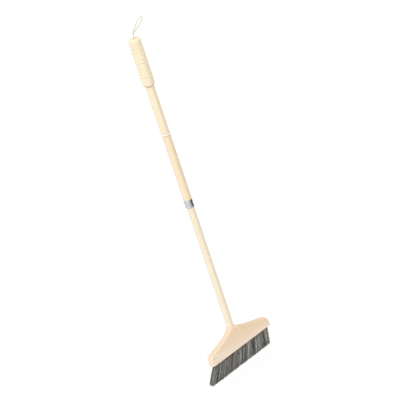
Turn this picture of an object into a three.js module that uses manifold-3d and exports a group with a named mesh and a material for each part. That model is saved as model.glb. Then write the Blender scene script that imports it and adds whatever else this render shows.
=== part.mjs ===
// Soft bristle broom: a turned pole in three screwed sections, a grip with a hanging cord,
// and a flared wooden head.
// Millimetres, +Z up along the pole, front of the head towards -Y.
import * as THREE from 'three';
import { mergeVertices } from 'three/addons/utils/BufferGeometryUtils.js';
import Module from 'manifold-3d';

const wasm = await Module();
wasm.setup();

// Gap left between pieces that touch on the real broom.
const FIT = 0.3;

// Pole sections, lengths as seen between the fittings.
const UPPER_POLE_DIAMETER = 25;
const UPPER_POLE_SHOWN = 157;
const MIDDLE_POLE_DIAMETER = 25;
const MIDDLE_POLE_SHOWN = 216;
const LOWER_POLE_DIAMETER = 22;
const LOWER_POLE_SHOWN = 426;
const POLE_EDGE = 0.8;

// Tenon at the foot of the lower pole, pegged in the head's neck.
const TENON_DIAMETER = 11;
const TENON_LENGTH = 20;

// Steel ferrule on the lower joint.
const FERRULE_DIAMETER = 25.4;
const FERRULE_LENGTH = 27;
const FERRULE_WALL = 0.8;
const FERRULE_LIP = 1.6;
const LOWER_POLE_ENTRY = 11;

// Threaded studs and inserts of both joints.
const STUD_DIAMETER = 12;
const STUD_EDGE = 1;
const STUD_FIXED_LENGTH = 28;
const STUD_SCREW_LENGTH = 24;
const INSERT_DIAMETER = 17;
const INSERT_LENGTH = 30;

// Rings between the sections: the pale one outside, the small washer inside the ferrule.
const RING_DIAMETER = 27.6;
const RING_HEIGHT = 4.6;
const RING_EDGE = 1.2;
const WASHER_DIAMETER = 20.6;
const WASHER_HEIGHT = 2;

// Grip: distances of the turned grooves are measured down from its top.
const GRIP_DIAMETER = 35.6;
const GRIP_LENGTH = 145;
const GRIP_TOP_EDGE = 3;
const GRIP_FOOT_EDGE = 7;
const GRIP_FOOT_DIAMETER = 30;
const GRIP_BORE_DEPTH = 100;
const GROOVE_DEPTH = 1;
const GROOVE_WIDTH = 2.6;
const GROOVES = [18, 27.5, 37, 62, 72, 97.5, 107, 116.5];
const KNOT_ROOM_DIAMETER = 17;
const KNOT_ROOM_HEIGHT = 22;
const CORD_HOLE_DIAMETER = 6.6;

// Hanging cord: a loop that leans to one side above the grip, both ends down the hole to a knot.
const CORD_DIAMETER = 2.4;
const KNOT_DIAMETER = 12;
const KNOT_HEIGHT = 9;
const CORD_LEAN = 40;
const CORD_RISE = 55;
const CORD_TURN = Math.PI / 180 * -32;

// Head block: flared stock tilted on the pole, bristles set in its underside.
const HEAD_TILT = Math.PI / 180 * 12;
const HEAD_WIDTH = 245;
const HEAD_DEPTH = 24;
const HEAD_HEIGHT = 72;
const HEAD_END_RISE = 6;
const HEAD_END_ROUND = 12;
const HEAD_SHOULDER_RISE = 31;
const HEAD_SHOULDER_SHARE = 0.905;
const HEAD_SHOULDER_ROUND = 5.2;
const HEAD_SHOULDER_FALL = 1.8;
const HEAD_FLARE_REACH = 0.3;
const HEAD_FLARE_SLOPE = 0.28;
const HEAD_PLAN_RADIUS = 8;
const HEAD_EDGE = 4;
const NECK_WIDTH = 24;
const NECK_FLARE = 17;
const NECK_OFFSET = 0.7;
// How far the neck stands to the left of the block's middle.
const NECK_SHIFT = 3;
// Round top of the neck, and how far it spreads at each drop below it.
const NECK_DIAMETER = 23;
const NECK_SPREAD = [[4, 0.5], [7, 1.6], [9.5, 5], [11.5, 12], [13, 20]];

// Cross pin through neck and tenon.
const PIN_DIAMETER = 3;
const PIN_DROP = 6;
const PIN_PROUD = 0.5;

// Bristle field: four strips of backing, two lines of strands on each, inside the block's walls.
const ROWS = 4;
const ROW_WALL = 2.4;
const ROW_END_WALL = 10.5;
const OUTER_ROW_INSET = 2;
const ROW_THICKNESS = 4;
const STRAND_COLUMNS = 46;
const STRAND_ROOT = 0.95;
const STRAND_TIP = 0.75;
const BRISTLE_LENGTH = 98;
const BRISTLE_SWEEP = Math.PI / 180 * 36;
const BRISTLE_FAN = 0.134;
const WIRE_DIAMETER = 1.2;
const WIRE_END_INSET = 3;

const ROUND = 40;
const SMALL_ROUND = 24;

const MATERIALS = {
  wood_pole: { color: 0xecd7ae, roughness: 0.55 },
  wood_lower: { color: 0xf0dfbd, roughness: 0.55 },
  wood_ring: { color: 0xf6ead6, roughness: 0.5 },
  wood_head: { color: 0xe4cba3, roughness: 0.6 },
  steel: { color: 0xb9bbbe, roughness: 0.3, metalness: 1 },
  brass: { color: 0xb9975a, roughness: 0.35, metalness: 1 },
  washer: { color: 0xd9d4c8, roughness: 0.6 },
  cord: { color: 0xcbbf93, roughness: 0.9 },
  bristle: { color: 0x6a635c, roughness: 0.8 },
};

// Geometry with shared corners only, no empty triangles, facing outwards.
function closed(geometry) {
  const bare = geometry.clone();
  bare.deleteAttribute('normal');
  bare.deleteAttribute('uv');
  const merged = mergeVertices(bare, 1e-4);
  const source = merged.getIndex().array;
  const index = [];
  for (let i = 0; i < source.length; i += 3) {
    const [a, b, c] = [source[i], source[i + 1], source[i + 2]];
    if (a !== b && b !== c && a !== c) index.push(a, b, c);
  }
  merged.setIndex(volumeOf(merged, index) < 0 ? index.reverse() : index);
  merged.computeVertexNormals();
  return merged;
}

// Signed volume of an indexed surface.
function volumeOf(geometry, index) {
  const p = geometry.getAttribute('position');
  const [a, b, c] = [new THREE.Vector3(), new THREE.Vector3(), new THREE.Vector3()];
  let sum = 0;
  for (let i = 0; i < index.length; i += 3) {
    a.fromBufferAttribute(p, index[i]);
    b.fromBufferAttribute(p, index[i + 1]);
    c.fromBufferAttribute(p, index[i + 2]);
    sum += a.dot(b.cross(c)) / 6;
  }
  return sum;
}

// Solid of revolution about Z from (radius, z) pairs; a profile off the axis is closed on itself.
function turned(pairs, sides = ROUND) {
  const points = pairs.map(([r, z]) => new THREE.Vector2(r, z));
  if (pairs[0][0] > 0) points.push(points[0].clone());
  return closed(new THREE.LatheGeometry(points, sides).rotateX(Math.PI / 2));
}

// Quarter-round steps from one corner of a profile to the next, about a centre.
function rounded(centreR, centreZ, radius, from, to, steps = 4) {
  const points = [];
  for (let i = 0; i <= steps; i += 1) {
    const angle = from + (to - from) * i / steps;
    points.push([centreR + radius * Math.cos(angle), centreZ + radius * Math.sin(angle)]);
  }
  return points;
}

function toManifold(geometry) {
  const shape = closed(geometry);
  return new wasm.Manifold(new wasm.Mesh({
    numProp: 3,
    vertProperties: new Float32Array(shape.getAttribute('position').array),
    triVerts: new Uint32Array(shape.getIndex().array),
  }));
}

function fromManifold(solid) {
  const mesh = solid.getMesh();
  const geometry = new THREE.BufferGeometry();
  geometry.setAttribute('position', new THREE.BufferAttribute(new Float32Array(mesh.vertProperties), 3));
  geometry.setIndex(new THREE.BufferAttribute(new Uint32Array(mesh.triVerts), 1));
  return closed(geometry);
}

// Upright cylinder between two heights.
function rod(radius, low, high, sides = ROUND) {
  return turned([[0, low], [radius, low], [radius, high], [0, high]], sides);
}

// Upright box between two heights.
function slab(width, depth, low, high, y = 0) {
  return new THREE.BoxGeometry(width, depth, high - low).translate(0, y, (low + high) / 2);
}

// Levels along the pole, counted up from the top of the neck.
const ferruleFoot = LOWER_POLE_SHOWN;
const ferruleTop = ferruleFoot + FERRULE_LENGTH;
const lowerTop = ferruleFoot + LOWER_POLE_ENTRY;
const washerFoot = lowerTop + FIT;
const middleFoot = washerFoot + WASHER_HEIGHT + FIT;
const middleTop = ferruleTop + MIDDLE_POLE_SHOWN;
const ringFoot = middleTop + FIT;
const upperFoot = ringFoot + RING_HEIGHT + FIT;
const gripFoot = upperFoot + UPPER_POLE_SHOWN;
const gripTop = gripFoot + GRIP_LENGTH;
const upperTop = gripFoot + GRIP_BORE_DEPTH - FIT;

const studRadius = STUD_DIAMETER / 2;
const insertRadius = INSERT_DIAMETER / 2;
const socketRadius = studRadius + FIT;

// Section with a blind hole for a stud in its upper end, and any foot profile.
function poleWithStudHole(radius, top, footPairs) {
  return turned([
    ...footPairs,
    [radius, top - POLE_EDGE],
    [radius - POLE_EDGE, top],
    [socketRadius, top],
    [socketRadius, top - STUD_FIXED_LENGTH - FIT],
    [0, top - STUD_FIXED_LENGTH - FIT],
  ]);
}

// Hole for a threaded insert in the lower end of a section, from the axis outwards.
function insertHole(foot) {
  return [
    [0, foot + INSERT_LENGTH + FIT],
    [insertRadius + FIT, foot + INSERT_LENGTH + FIT],
    [insertRadius + FIT, foot],
  ];
}

function lowerPole() {
  const radius = LOWER_POLE_DIAMETER / 2;
  const tenon = TENON_DIAMETER / 2;
  const solid = toManifold(poleWithStudHole(radius, lowerTop, [
    [0, -TENON_LENGTH],
    [tenon - POLE_EDGE, -TENON_LENGTH],
    [tenon, -TENON_LENGTH + POLE_EDGE],
    [tenon, FIT],
    [radius, FIT],
  ]));
  return fromManifold(solid.subtract(toManifold(pinRod(PIN_DIAMETER / 2 + FIT, NECK_DIAMETER))));
}

function middlePole() {
  const radius = MIDDLE_POLE_DIAMETER / 2;
  const tenon = FERRULE_DIAMETER / 2 - FERRULE_WALL - FIT;
  return poleWithStudHole(radius, middleTop, [
    ...insertHole(middleFoot),
    [tenon, middleFoot],
    [tenon, ferruleTop + FIT],
    [radius, ferruleTop + FIT],
  ]);
}

function upperPole() {
  const radius = UPPER_POLE_DIAMETER / 2;
  return turned([
    ...insertHole(upperFoot),
    [radius - POLE_EDGE, upperFoot],
    [radius, upperFoot + POLE_EDGE],
    [radius, upperTop - POLE_EDGE],
    [radius - POLE_EDGE, upperTop],
    [0, upperTop],
  ]);
}

// Stud glued in the end of the section below, its screw standing above that end.
function stud(seat, standing) {
  const top = seat + standing;
  return turned([
    [0, seat - STUD_FIXED_LENGTH],
    [studRadius - STUD_EDGE, seat - STUD_FIXED_LENGTH],
    [studRadius, seat - STUD_FIXED_LENGTH + STUD_EDGE],
    [studRadius, top - STUD_EDGE],
    [studRadius - STUD_EDGE, top],
    [0, top],
  ], SMALL_ROUND);
}

function insert(foot) {
  return turned([
    [socketRadius, foot],
    [insertRadius, foot],
    [insertRadius, foot + INSERT_LENGTH],
    [socketRadius, foot + INSERT_LENGTH],
  ], SMALL_ROUND);
}

function ferrule() {
  const outer = FERRULE_DIAMETER / 2;
  const inner = outer - FERRULE_WALL;
  const lip = LOWER_POLE_DIAMETER / 2 + FIT;
  return turned([
    [lip, ferruleFoot],
    [outer - FERRULE_WALL, ferruleFoot],
    [outer, ferruleFoot + FERRULE_WALL],
    [outer, ferruleTop - FERRULE_WALL / 2],
    [outer - FERRULE_WALL / 2, ferruleTop],
    [inner, ferruleTop],
    [inner, ferruleFoot + FERRULE_LIP],
    [lip, ferruleFoot + FERRULE_LIP],
  ]);
}

function washer() {
  const outer = WASHER_DIAMETER / 2;
  return turned([
    [socketRadius, washerFoot],
    [outer, washerFoot],
    [outer, washerFoot + WASHER_HEIGHT],
    [socketRadius, washerFoot + WASHER_HEIGHT],
  ], SMALL_ROUND);
}

function jointRing() {
  const outer = RING_DIAMETER / 2;
  const top = ringFoot + RING_HEIGHT;
  const quarter = Math.PI / 2;
  return turned([
    [socketRadius, ringFoot],
    ...rounded(outer - RING_EDGE, ringFoot + RING_EDGE, RING_EDGE, -quarter, 0, 3),
    ...rounded(outer - RING_EDGE, top - RING_EDGE, RING_EDGE, 0, quarter, 3),
    [socketRadius, top],
  ]);
}

function grip() {
  const outer = GRIP_DIAMETER / 2;
  const foot = GRIP_FOOT_DIAMETER / 2;
  const bore = UPPER_POLE_DIAMETER / 2 + FIT;
  const quarter = Math.PI / 2;
  const boreTop = gripFoot + GRIP_BORE_DEPTH;
  const roomTop = boreTop + KNOT_ROOM_HEIGHT;
  const side = GROOVES.toSorted((a, b) => b - a).flatMap((drop) => {
    const level = gripTop - drop;
    return [
      [outer, level - GROOVE_WIDTH / 2],
      [outer - GROOVE_DEPTH, level - GROOVE_WIDTH / 6],
      [outer - GROOVE_DEPTH, level + GROOVE_WIDTH / 6],
      [outer, level + GROOVE_WIDTH / 2],
    ];
  });
  return turned([
    [bore, gripFoot],
    [foot - GRIP_TOP_EDGE / 3, gripFoot],
    [foot, gripFoot + GRIP_TOP_EDGE / 3],
    [(foot + outer * 2) / 3, gripFoot + GRIP_FOOT_EDGE * 0.45],
    [outer, gripFoot + GRIP_FOOT_EDGE],
    ...side,
    ...rounded(outer - GRIP_TOP_EDGE, gripTop - GRIP_TOP_EDGE, GRIP_TOP_EDGE, 0, quarter, 4),
    [CORD_HOLE_DIAMETER / 2, gripTop],
    [CORD_HOLE_DIAMETER / 2, roomTop],
    [KNOT_ROOM_DIAMETER / 2, roomTop],
    [KNOT_ROOM_DIAMETER / 2, boreTop],
    [bore, boreTop],
  ]);
}

const knotTop = gripFoot + GRIP_BORE_DEPTH + FIT + KNOT_HEIGHT;

function cordKnot() {
  const ball = new THREE.SphereGeometry(0.5, 14, 10);
  ball.scale(KNOT_DIAMETER, KNOT_DIAMETER, KNOT_HEIGHT);
  return closed(ball.translate(0, 0, knotTop - KNOT_HEIGHT / 2));
}

// Cord path as shares of its lean and rise: up out of the hole, over the loop and back beside itself.
function hangCord() {
  const apart = CORD_DIAMETER / 2 + FIT / 2;
  const path = [
    [0, apart, null], [0, apart, 0], [0.04, apart, 0.2], [0.1, apart * 1.1, 0.38], [0.24, apart * 1.2, 0.5],
    [0.5, apart * 1.2, 0.76], [0.72, apart, 0.91], [0.93, apart * 0.4, 1],
    [1.03, -apart * 0.4, 0.94], [0.9, -apart, 0.79], [0.7, -apart * 1.2, 0.63],
    [0.46, -apart * 1.2, 0.48], [0.25, -apart * 1.2, 0.38], [0.1, -apart * 1.1, 0.27], [0.03, -apart, 0.15],
    [0, -apart, 0], [0, -apart, null],
  ];
  const low = knotTop + FIT;
  const points = path.map(([lean, side, rise]) => {
    const z = rise === null ? low : gripTop + rise * CORD_RISE;
    const point = new THREE.Vector3(lean * CORD_LEAN, -side, z);
    return point.applyAxisAngle(new THREE.Vector3(0, 0, 1), CORD_TURN);
  });
  const curve = new THREE.CatmullRomCurve3(points, false, 'centripetal');
  const shape = new THREE.Shape();
  for (let i = 0; i < 8; i += 1) {
    const angle = 2 * Math.PI * i / 8;
    const [x, y] = [CORD_DIAMETER / 2 * Math.cos(angle), CORD_DIAMETER / 2 * Math.sin(angle)];
    if (i === 0) shape.moveTo(x, y);
    else shape.lineTo(x, y);
  }
  const steps = Math.round(curve.getLength() / (2.2 * CORD_DIAMETER));
  return closed(new THREE.ExtrudeGeometry(shape, { steps, bevelEnabled: false, extrudePath: curve }));
}

// The head is drawn with its underside on z = 0, then hung from the neck at its tilt.
const toPole = new THREE.Matrix4()
  .makeTranslation(0, -NECK_OFFSET, 0)
  .multiply(new THREE.Matrix4().makeRotationX(-HEAD_TILT))
  .multiply(new THREE.Matrix4().makeTranslation(0, 0, -HEAD_HEIGHT));

// Cross pin lying along X, in the pole's own frame.
function pinRod(radius, length) {
  return rod(radius, -length / 2, length / 2, SMALL_ROUND).rotateY(Math.PI / 2).translate(0, 0, -PIN_DROP);
}

// Flared outline, drawn past the underside and past the neck so both are cut flat later.
function headOutline() {
  const neck = NECK_WIDTH / 2;
  const spare = HEAD_EDGE * 3;
  const along = (pairs) => {
    const points = pairs.map(([x, z]) => new THREE.Vector2(x, z));
    return new THREE.CubicBezierCurve(...points).getPoints(10);
  };
  const side = (half) => {
    const shoulder = half * HEAD_SHOULDER_SHARE;
    const reach = half * HEAD_FLARE_REACH;
    const end = [
      [half, HEAD_END_RISE],
      [half, HEAD_END_RISE + HEAD_END_ROUND],
      [half - HEAD_SHOULDER_ROUND, HEAD_SHOULDER_RISE - HEAD_SHOULDER_FALL],
      [shoulder, HEAD_SHOULDER_RISE],
    ];
    const flare = [
      [shoulder, HEAD_SHOULDER_RISE],
      [shoulder - reach, HEAD_SHOULDER_RISE + reach * HEAD_FLARE_SLOPE],
      [neck + 1.5, HEAD_HEIGHT - NECK_FLARE],
      [neck, HEAD_HEIGHT],
    ];
    return [
      new THREE.Vector2(half, -spare),
      ...along(end),
      ...along(flare).slice(1),
      new THREE.Vector2(neck, HEAD_HEIGHT + spare),
    ];
  };
  const right = side(HEAD_WIDTH / 2 + NECK_SHIFT);
  const left = side(HEAD_WIDTH / 2 - NECK_SHIFT);
  const mirrored = left.map((p) => new THREE.Vector2(-p.x, p.y)).reverse();
  return new THREE.Shape([...right, ...mirrored]);
}

// Turned envelope that brings the top of the neck to a circle, in the pole's own frame.
function neckEnvelope() {
  const radius = NECK_DIAMETER / 2;
  const spread = NECK_SPREAD.map(([drop, extra]) => [radius + extra, -drop]);
  const clear = 2 * HEAD_WIDTH;
  return turned([
    [0, 0],
    [radius, 0],
    ...spread,
    [clear, spread.at(-1)[1]],
    [clear, -clear],
    [0, -clear],
  ], 2 * ROUND);
}

// Plan of the block with rounded ends.
function headPlan() {
  const [x, y, r] = [HEAD_WIDTH / 2, HEAD_DEPTH / 2, HEAD_PLAN_RADIUS];
  const shape = new THREE.Shape();
  shape.moveTo(-x + r, -y);
  shape.lineTo(x - r, -y);
  shape.absarc(x - r, -y + r, r, -Math.PI / 2, 0);
  shape.lineTo(x, y - r);
  shape.absarc(x - r, y - r, r, 0, Math.PI / 2);
  shape.lineTo(-x + r, y);
  shape.absarc(-x + r, y - r, r, Math.PI / 2, Math.PI);
  shape.lineTo(-x, -y + r);
  shape.absarc(-x + r, -y + r, r, Math.PI, 1.5 * Math.PI);
  return shape;
}

const rowDepth = (HEAD_DEPTH - 2 * (ROW_WALL + FIT) - (ROWS - 1) * FIT) / ROWS;
const rowPitch = rowDepth + FIT;
const rowY = (row) => (row - (ROWS - 1) / 2) * rowPitch;
const isOuter = (row) => row === 0 || row === ROWS - 1;
const rowHalf = (row) => HEAD_WIDTH / 2 - ROW_END_WALL - (isOuter(row) ? OUTER_ROW_INSET : 0);
const rowTop = FIT + ROW_THICKNESS;
const wireLevel = rowTop + FIT + WIRE_DIAMETER / 2;

function headBlock() {
  const board = new THREE.ExtrudeGeometry(headOutline(), {
    depth: HEAD_DEPTH - 2 * HEAD_EDGE,
    bevelEnabled: true,
    bevelThickness: HEAD_EDGE,
    bevelSize: HEAD_EDGE,
    bevelOffset: -HEAD_EDGE,
    bevelSegments: 3,
  });
  board.translate(0, 0, HEAD_EDGE - HEAD_DEPTH / 2).rotateX(Math.PI / 2);
  const planOptions = { depth: 2 * HEAD_HEIGHT, bevelEnabled: false, curveSegments: 5 };
  const plan = new THREE.ExtrudeGeometry(headPlan(), planOptions).translate(NECK_SHIFT, 0, 0);
  let solid = toManifold(board).intersect(toManifold(plan));
  for (let row = 0; row < ROWS; row += 1) {
    const width = 2 * (rowHalf(row) + FIT);
    const pocket = slab(width, rowPitch + FIT, -1, rowTop + FIT / 2, rowY(row));
    pocket.translate(NECK_SHIFT, 0, 0);
    const groove = WIRE_DIAMETER + 2 * FIT;
    const wireRoom = slab(width - WIRE_END_INSET, groove, 0, wireLevel + groove / 2, rowY(row));
    wireRoom.translate(NECK_SHIFT, 0, 0);
    solid = solid.subtract(toManifold(pocket)).subtract(toManifold(wireRoom));
  }
  solid = solid.transform(toPole.toArray()).intersect(toManifold(neckEnvelope()));
  const tenonRoom = rod(TENON_DIAMETER / 2 + FIT, -TENON_LENGTH - FIT, 1);
  const pinRoom = pinRod(PIN_DIAMETER / 2 + FIT, NECK_DIAMETER + 8 * PIN_PROUD);
  return fromManifold(solid.subtract(toManifold(tenonRoom)).subtract(toManifold(pinRoom)));
}

// Strip of backing in cells, each cell's underside opening into one three-sided strand.
function bristleRow(row) {
  const lines = 2;
  const half = rowHalf(row);
  const front = rowY(row) - rowDepth / 2;
  const step = [2 * half / STRAND_COLUMNS, rowDepth / lines];
  const position = [];
  const index = [];
  const add = (x, y, z) => position.push(x, y, z) / 3 - 1;
  const corner = (level) => Array.from({ length: STRAND_COLUMNS + 1 }, (_, i) => (
    Array.from({ length: lines + 1 }, (__, j) => add(-half + i * step[0], front + j * step[1], level))));
  const foot = corner(FIT);
  const top = corner(rowTop);
  const quad = (a, b, c, d) => index.push(a, b, c, a, c, d);
  const sweep = [Math.sin(BRISTLE_SWEEP), -Math.cos(BRISTLE_SWEEP)];
  for (let i = 0; i < STRAND_COLUMNS; i += 1) {
    for (let j = 0; j < lines; j += 1) {
      quad(top[i][j], top[i + 1][j], top[i + 1][j + 1], top[i][j + 1]);
      const stagger = (j === 0) === (i < STRAND_COLUMNS / 2) ? -0.18 : 0.18;
      const x = -half + (i + 0.5 + stagger) * step[0];
      const y = front + (j + 0.5) * step[1];
      const length = BRISTLE_LENGTH - (y + HEAD_DEPTH / 2) * sweep[0];
      const ring = (radius, along) => [0, 1, 2].map((k) => {
        const angle = Math.PI * (1 / 6 + 2 * k / 3);
        const spread = x * BRISTLE_FAN * along / BRISTLE_LENGTH;
        return add(
          x + spread + radius * Math.cos(angle),
          y + along * sweep[0] + radius * Math.sin(angle),
          FIT + along * sweep[1],
        );
      });
      const root = ring(STRAND_ROOT, 0);
      const tip = ring(STRAND_TIP, length);
      const [a, b, c, d] = [foot[i][j], foot[i + 1][j], foot[i + 1][j + 1], foot[i][j + 1]];
      index.push(b, a, root[2], c, b, root[0], d, c, root[1], a, d, root[1]);
      index.push(root[0], b, root[2], root[1], c, root[0], root[1], root[2], a);
      for (let k = 0; k < 3; k += 1) {
        const next = (k + 1) % 3;
        quad(root[next], root[k], tip[k], tip[next]);
      }
      index.push(tip[2], tip[1], tip[0]);
    }
  }
  for (let i = 0; i < STRAND_COLUMNS; i += 1) {
    quad(foot[i][0], foot[i + 1][0], top[i + 1][0], top[i][0]);
    quad(foot[i + 1][lines], foot[i][lines], top[i][lines], top[i + 1][lines]);
  }
  for (let j = 0; j < lines; j += 1) {
    quad(foot[0][j + 1], foot[0][j], top[0][j], top[0][j + 1]);
    const [last, cap] = [foot[STRAND_COLUMNS], top[STRAND_COLUMNS]];
    quad(last[j], last[j + 1], cap[j + 1], cap[j]);
  }
  const geometry = new THREE.BufferGeometry();
  geometry.setAttribute('position', new THREE.Float32BufferAttribute(position, 3));
  geometry.setIndex(index);
  return closed(geometry).translate(NECK_SHIFT, 0, 0).applyMatrix4(toPole);
}

function tuftWire(row) {
  const length = 2 * (rowHalf(row) - WIRE_END_INSET);
  const wire = rod(WIRE_DIAMETER / 2, -length / 2, length / 2, 10).rotateY(Math.PI / 2);
  return wire.translate(NECK_SHIFT, rowY(row), wireLevel).applyMatrix4(toPole);
}

const broom = new THREE.Group();
broom.name = 'soft_bristle_broom';

function place(name, geometry, slot) {
  const material = new THREE.MeshStandardMaterial({ name: slot, ...MATERIALS[slot] });
  const mesh = new THREE.Mesh(geometry, material);
  mesh.name = name;
  broom.add(mesh);
}

place('grip', grip(), 'wood_pole');
place('hang_cord', hangCord(), 'cord');
place('cord_knot', cordKnot(), 'cord');
place('upper_pole', upperPole(), 'wood_pole');
place('upper_insert', insert(upperFoot), 'brass');
place('joint_ring', jointRing(), 'wood_ring');
place('middle_pole', middlePole(), 'wood_pole');
place('upper_stud', stud(middleTop, FIT + RING_HEIGHT + FIT + STUD_SCREW_LENGTH), 'steel');
place('lower_insert', insert(middleFoot), 'brass');
place('ferrule', ferrule(), 'steel');
place('lower_washer', washer(), 'washer');
place('lower_pole', lowerPole(), 'wood_lower');
place('lower_stud', stud(lowerTop, FIT + WASHER_HEIGHT + FIT + STUD_SCREW_LENGTH), 'steel');
place('head_block', headBlock(), 'wood_head');
place('neck_pin', pinRod(PIN_DIAMETER / 2, NECK_DIAMETER + 2 * PIN_PROUD), 'wood_lower');
for (let row = 0; row < ROWS; row += 1) {
  place(`bristle_row_${row + 1}`, bristleRow(row), 'bristle');
  place(`tuft_wire_${row + 1}`, tuftWire(row), 'brass');
}

// Origin at the middle of the bottom of the whole broom.
const bounds = new THREE.Box3().setFromObject(broom);
const centre = bounds.getCenter(new THREE.Vector3());
for (const mesh of broom.children) mesh.geometry.translate(-centre.x, -centre.y, -bounds.min.z);

export default broom;
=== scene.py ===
"""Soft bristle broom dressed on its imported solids.

Turned wooden pole in three screwed sections, grooved grip with a hanging cord, steel ferrule, and a flared
wooden head with soft bristles that sweep back."""

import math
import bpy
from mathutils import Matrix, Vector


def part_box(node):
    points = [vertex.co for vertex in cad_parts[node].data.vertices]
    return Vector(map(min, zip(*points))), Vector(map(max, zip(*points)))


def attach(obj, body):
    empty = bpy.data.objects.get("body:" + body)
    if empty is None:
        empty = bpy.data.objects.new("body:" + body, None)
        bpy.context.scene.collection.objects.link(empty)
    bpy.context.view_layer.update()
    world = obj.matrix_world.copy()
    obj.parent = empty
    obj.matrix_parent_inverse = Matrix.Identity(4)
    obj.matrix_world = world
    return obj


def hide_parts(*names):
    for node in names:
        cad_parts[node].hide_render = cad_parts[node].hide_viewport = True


bl_info = {
    "name": "Soft Bristle Broom",
    "version": (1, 0, 0),
    "blender": (4, 5, 0),
    "location": "View3D > Sidebar > Broom",
    "description": "Builds the wood, steel, twine and hair of a sectional broom on its solids",
    "category": "Object",
}

import bpy
import numpy as np
from bpy.props import FloatProperty, FloatVectorProperty, IntProperty, PointerProperty
from mathutils import Matrix, Vector

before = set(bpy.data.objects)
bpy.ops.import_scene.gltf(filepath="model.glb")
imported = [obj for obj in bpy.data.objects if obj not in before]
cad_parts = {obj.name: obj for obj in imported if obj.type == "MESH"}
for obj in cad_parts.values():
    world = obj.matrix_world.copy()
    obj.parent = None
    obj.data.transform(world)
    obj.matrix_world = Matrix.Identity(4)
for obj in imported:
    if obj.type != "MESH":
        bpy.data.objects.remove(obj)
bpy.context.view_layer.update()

MM = 0.001
TURN = 2 * math.pi
GAP = 0.3 * MM


def level(node, end):
    """Lowest (0) or highest (1) height of a solid."""
    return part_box(node)[end][2]


def radius_of(node):
    """Half of a turned solid's width."""
    low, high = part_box(node)
    return (high[0] - low[0]) / 2


POLE_X, POLE_Y = [(low + high) / 2 for low, high in zip(*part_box("upper_pole"))][:2]
NECK_Z = level("head_block", 1)


def srgb(red, green, blue):
    """Linear colour of an 8-bit screen colour."""
    share = np.array([red, green, blue]) / 255
    return tuple(np.where(share <= 0.04045, share / 12.92, ((share + 0.055) / 1.055) ** 2.4).tolist())


def length(name, millimetres, text):
    """Length property with its default in millimetres."""
    return FloatProperty(name=name, description=text, default=millimetres * MM, unit="LENGTH", precision=5)


def slant(name, degrees, text):
    """Angle property with its default in degrees."""
    return FloatProperty(name=name, description=text, default=math.radians(degrees), unit="ROTATION")


def ratio(name, share, text):
    """Property that is a plain share."""
    return FloatProperty(name=name, description=text, default=share, precision=3)


def number(name, count, text):
    """Property that counts pieces."""
    return IntProperty(name=name, description=text, default=count, min=1)


def tint(name, rgb, text):
    """Colour property with its default as an 8-bit screen colour."""
    return FloatVectorProperty(name=name, description=text, default=srgb(*rgb), subtype="COLOR", min=0, max=1)


# Inner sizes that follow the solids: the grip's cord hole and the room for the knot; the studs, their seats,
# the inserts and the hole of ring and washer; the ferrule's wall, lip and roundings; the edges of the discs.
CORD_HOLE, KNOT_ROOM, KNOT_ROOM_HEIGHT = np.array([6.6, 17, 22]) * MM
STUD_DIAMETER, STUD_SEAT, JOINT_BORE = np.array([12, 28, 12.6]) * MM
INSERT_DIAMETER, INSERT_LENGTH = np.array([17, 30]) * MM
FERRULE_WALL, FERRULE_LIP, FERRULE_EDGE, FERRULE_ROLL = np.array([0.8, 1.6, 1.2, 0.4]) * MM
RING_EDGE, WASHER_EDGE = np.array([1.5, 0.4]) * MM


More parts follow.
